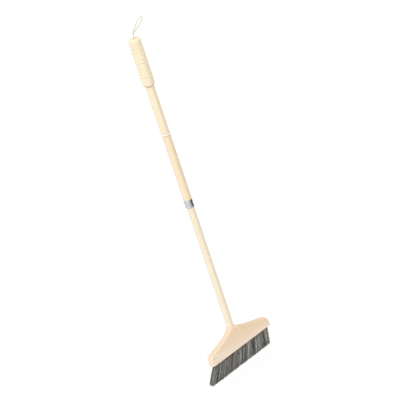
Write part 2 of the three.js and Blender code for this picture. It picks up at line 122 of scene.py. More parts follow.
class BroomSizes(bpy.types.PropertyGroup):
    """Sizes of the pieces that the scene builds."""

    pole_edge: length("Pole edge", 0.8, "Rounding at the ends of each pole section")
    groove_depth: length("Groove depth", 1.0, "Depth of the grooves turned in the grip")
    groove_width: length("Groove width", 2.6, "Width of the grooves turned in the grip")
    grip_top_edge: length("Grip top edge", 3.0, "Rounding of the top of the grip")
    grip_foot_edge: length("Grip foot edge", 7.0, "Height of the taper at the foot of the grip")
    grip_foot: length("Grip foot", 30.0, "Diameter of the foot of the grip")
    thread_pitch: length("Thread pitch", 3.0, "Rise of the studs' thread in one turn")
    thread_depth: length("Thread depth", 0.9, "Depth of the studs' thread")
    cord_diameter: length("Cord diameter", 2.4, "Thickness of the hanging cord")
    cord_lay: length("Cord lay", 7.0, "Length of one twist of the cord's two plies")
    head_width: length("Head width", 245, "Width of the block")
    head_depth: length("Head depth", 24, "Thickness of the block")
    head_height: length("Head height", 72, "Height from the underside to the top of the neck")
    head_edge: length("Head edge", 3.6, "Rounding between the faces of the block and its rim")
    plan_radius: length("Plan radius", 8, "Rounding of the block's ends seen from above")
    end_rise: length("End rise", 6, "Height of the straight part of each end")
    end_round: length("End round", 12, "Pull of the curve that leaves each end")
    shoulder_rise: length("Shoulder rise", 31, "Height of the shoulders")
    shoulder_share: ratio("Shoulder share", 0.905, "Place of the shoulders on the half width")
    shoulder_pull: ratio("Shoulder pull", 0.56, "Pull of the end's curve at the shoulder, share of its width")
    flare_reach: ratio("Flare reach", 0.3, "Pull of the shoulder's curve, share of the half width")
    flare_slope: ratio("Flare slope", 0.28, "Slope of the block's top at the shoulders")
    neck_width: length("Neck width", 24, "Width of the neck")
    neck_flare: length("Neck flare", 17, "Pull of the neck's curve")
    neck_splay: length("Neck splay", 1.5, "Sideways pull of the neck's curve")
    neck_diameter: length("Neck diameter", 23, "Diameter of the round top of the neck")
    neck_round: length("Neck round", 9, "Height over which the block turns round at its neck")
    neck_offset: length("Neck offset", 0.7, "Set of the block's middle in front of the pole's axis")
    head_tilt: slant("Head tilt", 12, "Tilt of the block on the pole")
    tenon_diameter: length("Tenon diameter", 11, "Peg of the lower section that enters the neck")
    bristle_length: length("Bristle length", 98, "Length of the front bristles")
    bristle_sweep: slant("Bristle sweep", 36, "Backward sweep of the bristles")
    bristle_fan: ratio("Bristle fan", 0.134, "Sideways spread at the tips, share of x")
    row_wall: length("Row wall", 2.4, "Wood between the outer rows and the block's faces")
    row_end_wall: length("Row end wall", 10.5, "Wood between the rows and the block's ends")
    corner_run: length("Corner run", 10, "Length of the rounding at the ends of the bristles' cut")
    corner_cut: length("Corner cut", 2.5, "Height of the rounding at the ends of the bristles' cut")
    outer_row_inset: length("Outer row inset", 2, "How much shorter the outer rows are at each end")
    backing: length("Backing", 4, "Thickness of the strip that each row stands on")
    tuft_wire: length("Tuft wire", 1.2, "Thickness of the wire over each strip")
    strand_width: length("Strand width", 0.3, "Thickness of one hair")
    tufts: number("Tufts", 46, "Tufts along each line of bristles")
    hairs: number("Hairs", 98, "Hairs in each tuft")
    lock_hairs: number("Lock", 7, "Hairs that cling together in one lock, a divisor of a tuft's hairs")


class BroomColours(bpy.types.PropertyGroup):
    """Colours of the finishes."""

    pole_wood: tint("Pole wood", (249, 235, 206), "Wood of the grip and the upper section")
    middle_wood: tint("Middle wood", (249, 229, 199), "Wood of the middle section, a little warmer")
    lower_wood: tint("Lower wood", (248, 235, 211), "Wood of the lower section, paler")
    ring_wood: tint("Ring wood", (255, 249, 240), "Pale ring between the upper sections")
    head_wood: tint("Head wood", (246, 230, 213), "Wood of the block")
    steel: tint("Steel", (222, 221, 224), "Ferrule and studs")
    brass: tint("Brass", (196, 164, 104), "Threaded inserts and tuft wires")
    washer: tint("Washer", (217, 212, 200), "Washer inside the ferrule")
    cord: tint("Cord", (232, 220, 172), "Hanging twine")
    bristle_dark: tint("Dark hair", (45, 44, 42), "Darkest bristles")
    bristle_light: tint("Light hair", (248, 246, 239), "Lightest bristles")
    # Brown painted on the hairs near their roots, as shade under the block.
    bristle_root_shade: tint("Root hair", (96, 74, 55), "Brown of the bristles at their roots")


def sizes():
    """Sizes held by the scene."""
    return bpy.context.scene.broom_sizes


def colours():
    """Colours held by the scene."""
    return bpy.context.scene.broom_colours


class Value:
    """Node output in Python expressions: each operator adds one Math node."""

    def __init__(self, finish, socket):
        self.finish = finish
        self.socket = socket

    def math(self, operation, first, second):
        return self.finish.node("Math", {"operation": operation}, {0: first, 1: second})

    def __add__(self, other):
        return self.math("ADD", self, other)

    def __radd__(self, other):
        return self.math("ADD", other, self)

    def __sub__(self, other):
        return self.math("SUBTRACT", self, other)

    def __rsub__(self, other):
        return self.math("SUBTRACT", other, self)

    def __mul__(self, other):
        return self.math("MULTIPLY", self, other)

    def __rmul__(self, other):
        return self.math("MULTIPLY", other, self)


class Finish:
    """Node tree under construction, of a material or of the world."""

    def __init__(self, owner):
        owner.use_nodes = True
        self.owner = owner
        self.tree = owner.node_tree
        self.tree.nodes.clear()

    def node(self, kind, settings=None, sockets=None, out=0):
        """New node of that kind, its settings made before its sockets; gives one of its outputs."""
        made = self.tree.nodes.new("ShaderNode" + kind)
        for key, value in (settings or {}).items():
            setattr(made, key, value)
        for key, value in (sockets or {}).items():
            if isinstance(value, Value):
                self.tree.links.new(value.socket, made.inputs[key])
            else:
                made.inputs[key].default_value = value
        return Value(self, made.outputs[out]) if made.outputs else None

    def coordinates(self, scale, place=(0, 0, 0), turned=(0, 0, 0)):
        """Object coordinates, moved, turned and stretched."""
        raw = self.node("TexCoord", out=3)
        sockets = {"Vector": raw, "Location": place, "Rotation": turned, "Scale": scale}
        return self.node("Mapping", {}, sockets)

    def noise(self, scale, detail, place=(0, 0, 0)):
        """Noise from 0 to 1, moved and stretched."""
        vector = self.coordinates(scale, place)
        sockets = {"Vector": vector, "Scale": 1.0, "Detail": detail, "Roughness": 0.55}
        return self.node("TexNoise", {}, sockets)

    def spread(self, value, low, high):
        """Value stretched so that low is 0 and high is 1, clamped."""
        return self.node("MapRange", {}, {"Value": value, "From Min": low, "From Max": high})

    def mix(self, share, first, second):
        """Colour between two colours."""
        sockets = {0: share, 6: opaque(first), 7: opaque(second)}
        return self.node("Mix", {"data_type": "RGBA"}, sockets, out=2)

    def surface(self, sockets, bump=None, distance=0, strength=0):
        """Principled surface as the material's output."""
        if bump is not None:
            relief = {"Height": bump, "Distance": distance, "Strength": strength}
            sockets["Normal"] = self.node("Bump", {}, relief)
        shader = self.node("BsdfPrincipled", {}, sockets)
        self.node("OutputMaterial", {}, {"Surface": shader})
        return self.owner


def material(name):
    """Node tree of a new material."""
    return Finish(bpy.data.materials.new(name))


def opaque(colour):
    """Colour with full alpha, or the link that gives it."""
    return colour if isinstance(colour, Value) else (*tuple(colour)[:3], 1.0)


def shade(colour, share):
    """Colour with its channels multiplied."""
    return tuple(min(channel * share, 1.0) for channel in tuple(colour)[:3])


# How far heartwood takes back each channel.
HEART = 0.25, 0.55, 1.0


def warm(colour, share):
    """Colour with some of each channel taken back, as heartwood."""
    return tuple(channel * (1 - loss * share) for channel, loss in zip(colour, HEART))


def turned_wood(name, colour, seed):
    """Lacquered dowel: bands and fine fibres along the pole, a few flecks, and painted shade where the points
    give it.
    """
    f = material(name)
    bands = f.noise((120, 120, 3.2), 4, (seed, seed * 0.7, seed * 0.3))
    fibres = f.noise((900, 900, 14), 3, (seed, 0, 0))
    flecks = f.noise((1500, 1500, 90), 1, (0, seed, 0))
    grain = f.spread(bands, 0.34, 0.7) * 0.6 + f.spread(fibres, 0.3, 0.72) * 0.4
    fleck = f.spread(flecks, 0.66, 0.74)
    painted_shade = f.node("Attribute", {"attribute_name": "painted_shade"}, out=2)
    tone = f.mix(grain, shade(colour, 1.03), warm(colour, 0.13))
    tone = f.mix(fleck * 0.3, tone, warm(colour, 0.4))
    # Painted shade: the wood turns dark brown in the grip's grooves, under the grip and the ring, and at the
    # ferrule's mouth.
    tone = f.mix(painted_shade, tone, shade(warm(colour, 0.3), 0.45))
    sockets = {
        "Base Color": tone,
        "Roughness": 0.42 + grain * 0.12,
        "Coat Weight": 0.12,
        "Coat Roughness": 0.3,
    }
    return f.surface(sockets, fibres + fleck * -0.8, 0.00012, 0.35)


def axis_distance(finish, place):
    """Square of the distance from the X axis of a set of coordinates."""
    across = finish.node("SeparateXYZ", {}, {"Vector": place}, out=1)
    upright = finish.node("SeparateXYZ", {}, {"Vector": place}, out=2)
    return across * across + upright * upright


def board_wood(name, colour):
    """Flat-sawn block: long growth rings, a warm heart, dark arcs beside the neck that are partly grain and
    partly painted shade of the rounded top front edge, fine fibres and pores.
    """
    f = material(name)
    drift = f.noise((9, 30, 30), 3)
    wave = {"wave_type": "RINGS", "rings_direction": "X", "wave_profile": "SIN"}
    long_way = f.coordinates((1, 1, 1), (0.0, 0.0091, -0.13), (0.0, 0.0, 0.2))
    slanted = f.coordinates((1, 1, 1), (0.0, -0.009, -0.14), (0.0, 0.0, 0.387))
    ringed = {"Vector": long_way, "Scale": 34.0, "Distortion": 3.0, "Detail": 2.0, "Detail Scale": 0.35}
    arched = {"Vector": slanted, "Scale": 48.0, "Distortion": 1.0, "Detail": 2.0, "Detail Scale": 0.35}
    rings = f.node("TexWave", wave, ringed, out=1)
    arches_and_edge_shade = f.node("TexWave", wave, arched, out=1)
    heart = f.spread(axis_distance(f, long_way), 0.0016, 0.0002)
    near = f.spread(axis_distance(f, slanted), 0.0006, 0.00015)
    fibres = f.noise((22, 700, 700), 3)
    pores = f.noise((110, 1600, 1600), 1)
    grain = f.spread(rings, 0.45, 1.0) * 0.55 + f.spread(fibres, 0.3, 0.72) * 0.2
    grain = grain + f.spread(drift, 0.35, 0.7) * 0.25
    pore = f.spread(pores, 0.66, 0.74)
    tone = f.mix(grain, colour, warm(colour, 0.32))
    tone = f.mix(heart * 0.75, tone, warm(colour, 0.36))
    # Dark arcs beside the neck: partly grain, partly painted shade of the rounded top front edge.
    tone = f.mix(f.spread(arches_and_edge_shade, 0.5, 1.0) * near * 0.6, tone, warm(colour, 0.6))
    tone = f.mix(pore * 0.3, tone, warm(colour, 0.4))
    sockets = {
        "Base Color": tone,
        "Roughness": 0.5 + grain * 0.1,
        "Coat Weight": 0.06,
        "Coat Roughness": 0.4,
    }
    return f.surface(sockets, fibres + pore * -0.8, 0.00012, 0.35)


def plain_wood(name, colour):
    """Pale end-grain wood: fine pores all over."""
    f = material(name)
    pores = f.noise((700, 700, 700), 3)
    clouds = f.noise((90, 90, 90), 2)
    mottle = f.spread(pores, 0.35, 0.75) * 0.7 + f.spread(clouds, 0.3, 0.7) * 0.3
    tone = f.mix(mottle, colour, warm(colour, 0.16))
    return f.surface({"Base Color": tone, "Roughness": 0.4 + pores * 0.2}, pores, 0.0001, 0.3)


def drawn_metal(name, colour, roughness):
    """Metal with fine lines that run round the pole, and a few rubbed patches."""
    f = material(name)
    lines = f.noise((60, 60, 4200), 2)
    rubs = f.noise((160, 160, 160), 3)
    tone = f.mix(f.spread(rubs, 0.4, 0.75), colour, shade(colour, 0.82))
    sockets = {
        "Base Color": tone,
        "Metallic": 1.0,
        "Roughness": roughness + lines * 0.12 + f.spread(rubs, 0.45, 0.8) * 0.1,
    }
    return f.surface(sockets, lines, 0.00004, 0.3)


def moulded(name, colour):
    """Matt moulded washer with a faint mottle."""
    f = material(name)
    mottle = f.noise((900, 900, 900), 2)
    tone = f.mix(f.spread(mottle, 0.35, 0.7), colour, shade(colour, 0.9))
    return f.surface({"Base Color": tone, "Roughness": 0.5 + mottle * 0.2}, mottle, 0.00006, 0.3)


def twine(name, colour):
    """Cotton twine: painted shade in the valley between its plies, fine fibres over both."""
    f = material(name)
    ply = f.node("Attribute", {"attribute_name": "ply"}, out=2)
    fibres = f.noise((2600, 2600, 2600), 3)
    # Painted shade: darker where the ply attribute is low, in the valley between the plies.
    tone = f.mix(f.spread(ply, 0.0, 0.7), shade(colour, 0.72), colour)
    tone = f.mix(f.spread(fibres, 0.4, 0.75) * 0.4, tone, shade(colour, 0.8))
    sockets = {"Base Color": tone, "Roughness": 0.82 + fibres * 0.12, "Sheen Weight": 0.25}
    return f.surface(sockets, fibres, 0.0002, 0.6)


def plain_twine(name, colour):
    """Knotted twine: slanting plies in bands with painted shade between them, and fine fibres."""
    f = material(name)
    wave = {"Vector": f.coordinates((1, 1, 1)), "Scale": 160.0}
    bands = f.node("TexWave", {"bands_direction": "DIAGONAL"}, wave, out=1)
    fibres = f.noise((2600, 2600, 2600), 3)
    # Painted shade: darker between the slanting plies.
    tone = f.mix(f.spread(bands, 0.1, 0.7), shade(colour, 0.6), colour)
    sockets = {"Base Color": tone, "Roughness": 0.82 + fibres * 0.12}
    return f.surface(sockets, bands + fibres * 0.4, 0.0003, 0.6)


def hair(name, dark, light, root_shade):
    """Mixed bristles: each hair has its own tone, browner towards the root as painted shade under the block,
    and greyer at the tip.
    """
    f = material(name)
    tone = f.node("Attribute", {"attribute_name": "tone"}, out=2)
    along = f.node("Attribute", {"attribute_name": "along"}, out=2)
    colour = f.mix(tone, dark, light)
    root = f.spread(along, 0.0, 0.3)
    # Painted shade: hairs turn brown near their roots, under the block.
    colour = f.mix((1 - root) * 0.55, colour, root_shade)
    return f.surface({"Base Color": colour, "Roughness": 0.42 + tone * 0.2})


def faces_of_grid(rows, columns, wrap_rows=False):
    """Quads between neighbours of a grid whose columns close on themselves."""
    index = np.arange(rows * columns).reshape(rows, columns)
    index = np.hstack([index, index[:, :1]])
    if wrap_rows:
        index = np.vstack([index, index[:1]])
    return np.stack([index[:-1, :-1], index[:-1, 1:], index[1:, 1:], index[1:, :-1]], -1).reshape(-1, 4)


NO_TRIANGLES = np.empty((0, 3), int)


def lofted(rings):
    """Closed skin over rings of points: quads between them and a fan to the middle of each end ring."""
    rows, columns = rings.shape[:2]
    points = np.concatenate([rings.reshape(-1, 3), rings[:1].mean(1), rings[-1:].mean(1)])
    first = np.arange(columns)
    last = first + (rows - 1) * columns
    foot = np.full(columns, rows * columns)
    fans = [np.stack([np.roll(first, -1), first, foot], 1), np.stack([last, np.roll(last, -1), foot + 1], 1)]
    return points, faces_of_grid(rows, columns), np.concatenate(fans)


def hollow(rings):
    """Closed skin over rings of points that follow a closed profile, as a tube's wall."""
    rows, columns = rings.shape[:2]
    return rings.reshape(-1, 3), faces_of_grid(rows, columns, True), NO_TRIANGLES


def circles(radius, z, angle):
    """Circles about the pole's axis: (r, z) becomes (x + r cos a, y + r sin a, z)."""
    return np.stack([POLE_X + radius * np.cos(angle), POLE_Y + radius * np.sin(angle), z + 0 * angle], -1)


# Sides of the turned pieces, and of the widest of them.
TURNED_SIDES, WIDE_SIDES = 96, 120


def turned(profile, sides=TURNED_SIDES):
    """Profile of (r, z) carried round the pole's axis."""
    profile = np.asarray(profile, float)
    return circles(profile[:, :1], profile[:, 1:], TURN * np.arange(sides) / sides)


def arc(r, z, radius, start, end, steps=5):
    """Points of a profile on a circle about (r, z), angles in quarter turns from outwards to upwards."""
    angle = np.linspace(start, end, steps) * math.pi / 2
    return np.stack([r + radius * np.cos(angle), z + radius * np.sin(angle)], 1).tolist()


def facing_out(points, quads, triangles):
    """Faces turned so that the skin's signed volume is positive."""
    soup = np.concatenate([quads[:, [0, 1, 2]], quads[:, [0, 2, 3]], triangles])
    a, b, c = (points[soup[:, i]] - points.mean(0) for i in range(3))
    if np.einsum("ij,ij->", a, np.cross(b, c)) < 0:
        return quads[:, ::-1], triangles[:, ::-1]
    return quads, triangles


# Angles in degrees past which an edge stays sharp: on turned pieces, on the block, on twine and on hair.
TURNED_SHARP, BLOCK_SHARP, SOFT_SHARP, HAIR_SHARP = 38, 42, 70, 80


def placed(name, data):
    """New object of the scene."""
    made = bpy.data.objects.new(name, data)
    bpy.context.scene.collection.objects.link(made)
    return made


def piece(name, skin, finish, body, node, attributes=None, sharp=TURNED_SHARP):
    """Mesh object of a skin that rides on a body and stands for a solid."""
    points, quads, triangles = skin
    quads, triangles = facing_out(points, quads, triangles)
    mesh = bpy.data.meshes.new(name)
    mesh.vertices.add(len(points))
    mesh.vertices.foreach_set("co", np.ascontiguousarray(points, np.float32).ravel())
    loops = np.concatenate([quads.ravel(), triangles.ravel()]).astype(np.int32)
    counts = np.concatenate([np.full(len(quads), 4), np.full(len(triangles), 3)])
    mesh.loops.add(len(loops))
    mesh.loops.foreach_set("vertex_index", loops)
    mesh.polygons.add(len(counts))
    mesh.polygons.foreach_set("loop_start", np.concatenate([[0], np.cumsum(counts)[:-1]]).astype(np.int32))
    mesh.update(calc_edges=True)
    mesh.polygons.foreach_set("use_smooth", np.ones(len(counts), bool))
    mesh.set_sharp_from_angle(angle=math.radians(sharp))
    for key, values in (attributes or {}).items():
        layer = mesh.attributes.new(key, "FLOAT", "POINT")
        layer.data.foreach_set("value", np.asarray(values, np.float32))
    mesh.materials.append(finish)
    made = placed(name, mesh)
    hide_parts(node)
    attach(made, body)
    return made


def repaint(node, finish):
    """Better finish on a solid that stays."""
    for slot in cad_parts[node].material_slots:
        slot.material = finish


def spline(points, count):
    """Centripetal Catmull-Rom curve through the points, with count points a span, as whole arrays."""
    p = np.asarray(points, float)
    p = np.vstack([2 * p[0] - p[1], p, 2 * p[-1] - p[-2]])
    knot = np.concatenate([[0], np.cumsum(np.linalg.norm(np.diff(p, axis=0), axis=1) ** 0.5)])
    k = [knot[i : len(knot) - 3 + i, None, None] for i in range(4)]
    q = [p[i : len(p) - 3 + i, None, :] for i in range(4)]
    t = k[1] + (k[2] - k[1]) * np.linspace(0, 1, count, endpoint=False)[None, :, None]

    def between(i, j, a, b):
        return a * (k[j] - t) / (k[j] - k[i]) + b * (t - k[i]) / (k[j] - k[i])

    first = [between(i, i + 1, q[i], q[i + 1]) for i in range(3)]
    second = [between(i, i + 2, first[i], first[i + 1]) for i in range(2)]
    return np.vstack([between(1, 2, second[0], second[1]).reshape(-1, 3), p[-2]])


# Sideways reach of the hanging loop, its height over the grip, and the way it leans, about the pole.
CORD_LEAN, CORD_RISE, CORD_TURN = 40 * MM, 55 * MM, math.radians(-32)


def cord_route():
    """Route of the hanging cord, and the way across its loop.

    Up out of the grip's hole, over the leaning loop and back beside itself; each point is given as shares of
    the lean, of half the distance between the cord's two runs, and of the rise."""
    s = sizes()
    apart = s.cord_diameter / 2 + GAP / 2
    top = level("grip", 1)
    low = level("hang_cord", 0)
    shares = np.array([
        (0, 1, 0), (0.04, 1, 0.2), (0.1, 1.1, 0.38), (0.24, 1.2, 0.5), (0.5, 1.2, 0.76), (0.72, 1, 0.91),
        (0.93, 0.4, 1), (1.03, -0.4, 0.94), (0.9, -1, 0.79), (0.7, -1.2, 0.63), (0.46, -1.2, 0.48),
        (0.25, -1.2, 0.38), (0.1, -1.1, 0.27), (0.03, -1, 0.15), (0, -1, 0),
    ])
    x, y = shares[:, 0] * CORD_LEAN, -shares[:, 1] * apart
    z = top + shares[:, 2] * CORD_RISE
    cos, sin = math.cos(CORD_TURN), math.sin(CORD_TURN)
    route = np.stack([POLE_X + x * cos - y * sin, POLE_Y + x * sin + y * cos, z], 1)
    ends = route[[0, -1]] * [1, 1, 0] + [0, 0, low]
    return np.vstack([ends[:1], route, ends[1:]]), np.array([-sin, cos, 0])


# Sides of the cord, points a span of its route, thickness in the valley between its plies as a share of the
# whole, and how far above its lower end it leaves its anchor.
CORD_SIDES, CORD_STEPS, PLY_VALLEY, CORD_EXIT_RISE = 20, 24, 0.66, 12 * MM


class BROOM_OT_cord(bpy.types.Operator):
    """Two-ply twine along its route, and the knot that holds it in the grip."""

    bl_idname = "broom.cord"
    bl_label = "Hanging cord"

    def execute(self, context):
        s = sizes()
        route, across = cord_route()
        path = spline(route, CORD_STEPS)
        along = np.gradient(path, axis=0)
        along /= np.linalg.norm(along, axis=1, keepdims=True)
        side = np.cross(across, along)
        side /= np.linalg.norm(side, axis=1, keepdims=True)
        over = np.cross(along, side)
        run = np.concatenate([[0], np.cumsum(np.linalg.norm(np.diff(path, axis=0), axis=1))])
        angle = TURN * np.arange(CORD_SIDES) / CORD_SIDES
        lobe = np.cos(angle[None] - TURN * run[:, None] / s.cord_lay) ** 2
        radius = s.cord_diameter / 2 * (PLY_VALLEY + (1 - PLY_VALLEY) * lobe)
        rings = path[:, None] + radius[..., None] * (
            np.cos(angle)[None, :, None] * side[:, None] + np.sin(angle)[None, :, None] * over[:, None]
        )
        finish = twine("twine", colours().cord)
        ply = np.concatenate([lobe.ravel(), [0.5, 0.5]])
        skin = lofted(rings)
        made = piece("cord_loop", skin, finish, "handle_top", "hang_cord", {"ply": ply}, SOFT_SHARP)
        repaint("cord_knot", plain_twine("knotted_twine", colours().cord))
        path[0][2] + CORD_EXIT_RISE
        return {"FINISHED"}


# Grooves of the grip, measured down from its top; how dark the shade painted in them is, and the reach of a
# groove's dip as a share of its width; then the power of the foot's curve, and rows of points at the foot and
# above it.
GROOVE_DROPS = np.array([18, 27.5, 37, 62, 72, 97.5, 107, 116.5]) * MM
GROOVE_SHADE, GROOVE_REACH = 0.14, 0.36
FOOT_CURVE, FOOT_ROWS, GRIP_ROWS = 1.6, 14, 420


def grip_profile():
    """Side of the grip from foot to top: a cylinder less a smooth dip at each groove; and the shade painted
    in the grooves.

    A dip is exp(-d^4), where d is the height from the groove's middle over the dip's reach."""
    s = sizes()
    foot, top = level("grip", 0), level("grip", 1)
    outer = radius_of("grip")
    taper_top = foot + s.grip_foot_edge
    z = np.concatenate([np.linspace(foot, taper_top, FOOT_ROWS), np.linspace(taper_top, top, GRIP_ROWS)[1:]])
    r = np.full(len(z), outer)
    dips = np.exp(-(((top - z[:, None] - GROOVE_DROPS) / (s.groove_width * GROOVE_REACH)) ** 4)).sum(1)
    r -= s.groove_depth * dips
    rise = np.clip((z - foot) / s.grip_foot_edge, 0, 1)
    r -= (outer - s.grip_foot / 2) * (1 - rise) ** FOOT_CURVE
    over = np.clip((z - (top - s.grip_top_edge)) / s.grip_top_edge, 0, 1)
    r -= s.grip_top_edge * (1 - np.sqrt(1 - over**2))
    # The dips, clipped, give the shade painted in the grooves.
    return np.stack([r, z], 1).tolist(), (GROOVE_SHADE * np.clip(dips, 0, 1)).tolist()


class BROOM_OT_grip(bpy.types.Operator):
    """Turned grip with its bore, knot room and cord hole."""

    bl_idname = "broom.grip"
    bl_label = "Grip"

    def execute(self, context):
        foot, top = level("grip", 0), level("grip", 1)
        hole, room, bore = CORD_HOLE / 2, KNOT_ROOM / 2, radius_of("upper_pole") + GAP
        bore_top = level("upper_pole", 1) + GAP
        room_top = bore_top + KNOT_ROOM_HEIGHT
        inside = [(hole, top), (hole, room_top), (room, room_top), (room, bore_top)]
        inside += [(bore, bore_top), (bore, foot)]
        side, groove_shade = grip_profile()
        painted_shade = np.repeat(groove_shade + [0.0] * len(inside), WIDE_SIDES)
        finish = turned_wood("grip_wood", colours().pole_wood, 3.1)
        skin = hollow(turned(side + inside, WIDE_SIDES))
        piece("grip_turned", skin, finish, "handle_top", "grip", {"painted_shade": painted_shade})
        return {"FINISHED"}


# Rows of points along a pole section, and half the height over which a mark of painted shade on it fades.
POLE_ROWS, MARK_FADE = 24, 0.2 * MM


def pole_profile(node, marks, hole_low=None, hole_high=None, tenon=None):
    """Profile of a pole section from its lower end to its upper, and how much shade is painted at each point.

    Holes are given as (radius, depth), a tenon as (radius, top), marks of painted shade as (low, high,
    share)."""
    r, e = radius_of(node), sizes().pole_edge
    foot, top = level(node, 0), level(node, 1)
    start = [(hole_low[0], foot + hole_low[1]), (hole_low[0], foot)] if hole_low else []
    if tenon:
        start += arc(tenon[0] - e, foot + e, e, -1, 0) + [(tenon[0], tenon[1]), (r, tenon[1])]
    else:
        start += arc(r - e, foot + e, e, -1, 0)
    end = arc(r - e, top - e, e, 0, 1)
    if hole_high:
        end += [(hole_high[0], top), (hole_high[0], top - hole_high[1])]
    edges = [z for mark in marks for end_z in mark[:2] for z in (end_z - MARK_FADE, end_z + MARK_FADE)]
    heights = np.sort(np.concatenate([np.linspace(start[-1][1], end[0][1], POLE_ROWS), edges]))
    inside = heights[(heights > start[-1][1]) & (heights < end[0][1])]
    profile = np.vstack([start, np.stack([np.full(len(inside), r), inside], 1), end])
    z = profile[:, 1]
    painted_shade = sum(share * ((z > mark_low) & (z < mark_high)) for mark_low, mark_high, share in marks)
    return profile, painted_shade


class BROOM_OT_poles(bpy.types.Operator):
    """Three turned sections of the pole, each with its own tone of wood."""

    bl_idname = "broom.poles"
    bl_label = "Pole sections"

    def execute(self, context):
        c, s = colours(), sizes()
        insert = (INSERT_DIAMETER / 2 + GAP, INSERT_LENGTH + GAP)
        stud = (STUD_DIAMETER / 2 + GAP, STUD_SEAT + GAP)
        sleeve = (radius_of("ferrule") - FERRULE_WALL - GAP, level("ferrule", 1) + GAP)
        peg = (s.tenon_diameter / 2, NECK_Z + GAP)
        foot, ring, mouth = level("grip", 0), level("joint_ring", 0), level("ferrule", 0)
        # Painted shadow under the grip's foot and under the ring, and painted shade at the ferrule's mouth,
        # each as (low, high, share).
        grip_foot_shadow = (foot - 3 * MM, foot + 1 * MM, 0.8)
        ring_shadow = (ring - 2.2 * MM, ring, 0.4)
        mouth_shade = (mouth - 1 * MM, mouth + 1 * MM, 0.3)
        upper = pole_profile("upper_pole", [grip_foot_shadow], insert)
        middle = pole_profile("middle_pole", [ring_shadow], insert, stud, sleeve)
        lower = pole_profile("lower_pole", [mouth_shade], None, stud, peg)
        made = [
            ("upper_section", "upper_pole", upper, c.pole_wood, 0.4, "handle_top", "wood_pole"),
            ("middle_section", "middle_pole", middle, c.middle_wood, 5.7, "handle_middle", "wood_pole"),
            ("lower_section", "lower_pole", lower, c.lower_wood, 9.2, "head", "wood_lower"),
        ]
        for name, node, (profile, painted_shade), colour, seed, body, slot in made:
            finish = turned_wood(name + "_wood", colour, seed)
            painted_shade = np.concatenate([np.repeat(painted_shade, TURNED_SIDES), painted_shade[[0, -1]]])
            piece(name, lofted(turned(profile)), finish, body, node, {"painted_shade": painted_shade})
        return {"FINISHED"}


# Rows of points in one pitch of a thread, its sides, and the length of its run-out in pitches.
THREAD_ROWS, THREAD_SIDES, THREAD_RUN_OUT = 12, 40, 0.6


def threaded(node):
    """Stud: radius is the core plus a blunt ridge that climbs one pitch a turn, run out at both ends."""
    s = sizes()
    foot, top = level(node, 0), level(node, 1)
    rows = int((top - foot) / s.thread_pitch * THREAD_ROWS)
    z = np.linspace(foot, top, rows)[:, None]
    angle = TURN * np.arange(THREAD_SIDES) / THREAD_SIDES
    ridge = 1 - np.abs(2 * ((z / s.thread_pitch - angle / TURN) % 1) - 1)
    ease = np.clip(np.minimum(z - foot, top - z) / (THREAD_RUN_OUT * s.thread_pitch), 0, 1)
    r = radius_of(node) - s.thread_depth + s.thread_depth * np.clip(1.5 * ridge - 0.2, 0, 1) * ease
    return circles(r, z, angle)


def rounded_disc(node, edge, steps):
    """Flat ring about a stud: its bore, and an outside with both edges rounded."""
    bore, outer = JOINT_BORE / 2, radius_of(node)
    foot, top = level(node, 0), level(node, 1)
    profile = [(bore, foot)] + arc(outer - edge, foot + edge, edge, -1, 0, steps)
    profile += arc(outer - edge, top - edge, edge, 0, 1, steps) + [(bore, top)]
    return hollow(turned(profile))


class BROOM_OT_joints(bpy.types.Operator):
    """Ferrule, ring, washer, threaded studs and inserts of the two screw joints."""

    bl_idname = "broom.joints"
    bl_label = "Screw joints"

    def execute(self, context):
        c = colours()
        steel = drawn_metal("drawn_steel", c.steel, 0.28)
        outer, lip = radius_of("ferrule"), radius_of("lower_pole") + GAP
        foot, top = level("ferrule", 0), level("ferrule", 1)
        edge, roll = FERRULE_EDGE, FERRULE_ROLL
        profile = [(lip, foot)] + arc(outer - edge, foot + edge, edge, -1, 0, 7)
        for quarter in (0, 1):
            profile += arc(outer - roll, top - roll, roll, quarter, quarter + 1)
        profile += [(outer - FERRULE_WALL, foot + FERRULE_LIP), (lip, foot + FERRULE_LIP)]
        piece("ferrule_band", hollow(turned(profile, WIDE_SIDES)), steel, "handle_middle", "ferrule")
        ring = rounded_disc("joint_ring", RING_EDGE, 8)
        pale = plain_wood("ring_wood", c.ring_wood)
        piece("pale_ring", ring, pale, "upper_joint_ring", "joint_ring")
        washer = rounded_disc("lower_washer", WASHER_EDGE, 5)
        matt = moulded("moulded_washer", c.washer)
        piece("washer_disc", washer, matt, "lower_joint_washer", "lower_washer")
        piece("upper_screw", lofted(threaded("upper_stud")), steel, "handle_middle", "upper_stud")
        piece("lower_screw", lofted(threaded("lower_stud")), steel, "head", "lower_stud")
        brass = drawn_metal("turned_brass", c.brass, 0.3)
        for node in ("upper_insert", "lower_insert"):
            repaint(node, brass)
        return {"FINISHED"}


def from_block(points):
    """Points measured from the middle of the block's underside, hung from the neck at the block's tilt."""
    s = sizes()
    x, y, z = points[..., 0], points[..., 1], points[..., 2] - s.head_height
    cos, sin = math.cos(s.head_tilt), math.sin(s.head_tilt)
    return np.stack([x, POLE_Y - s.neck_offset + y * cos + z * sin, NECK_Z - y * sin + z * cos], -1)


def smooth(value):
    """Smooth step from 0 to 1."""
    value = np.clip(value, 0, 1)
    return value * value * (3 - 2 * value)


def bezier(points, count):
    """Cubic curve of four control points."""
    t = np.linspace(0, 1, count)[:, None]
    a, b, c, d = np.asarray(points, float)
    return (1 - t) ** 3 * a + 3 * (1 - t) ** 2 * t * b + 3 * (1 - t) * t**2 * c + t**3 * d


# Rows of points up the block's ends, shoulders and flare, and columns over its thickness and along its faces.
END_ROWS, SHOULDER_ROWS, FLARE_ROWS, RIM_COLUMNS, FACE_COLUMNS = 8, 36, 72, 40, 60

# Largest square of the outline's slope that still widens the rim's rounding; then how much wider the neck is
# at a drop under its top, where the swell grows as the square of the drop.
STEEPEST = 60
NECK_SWELL, SWELL_DROP = 0.5 * MM, 4 * MM


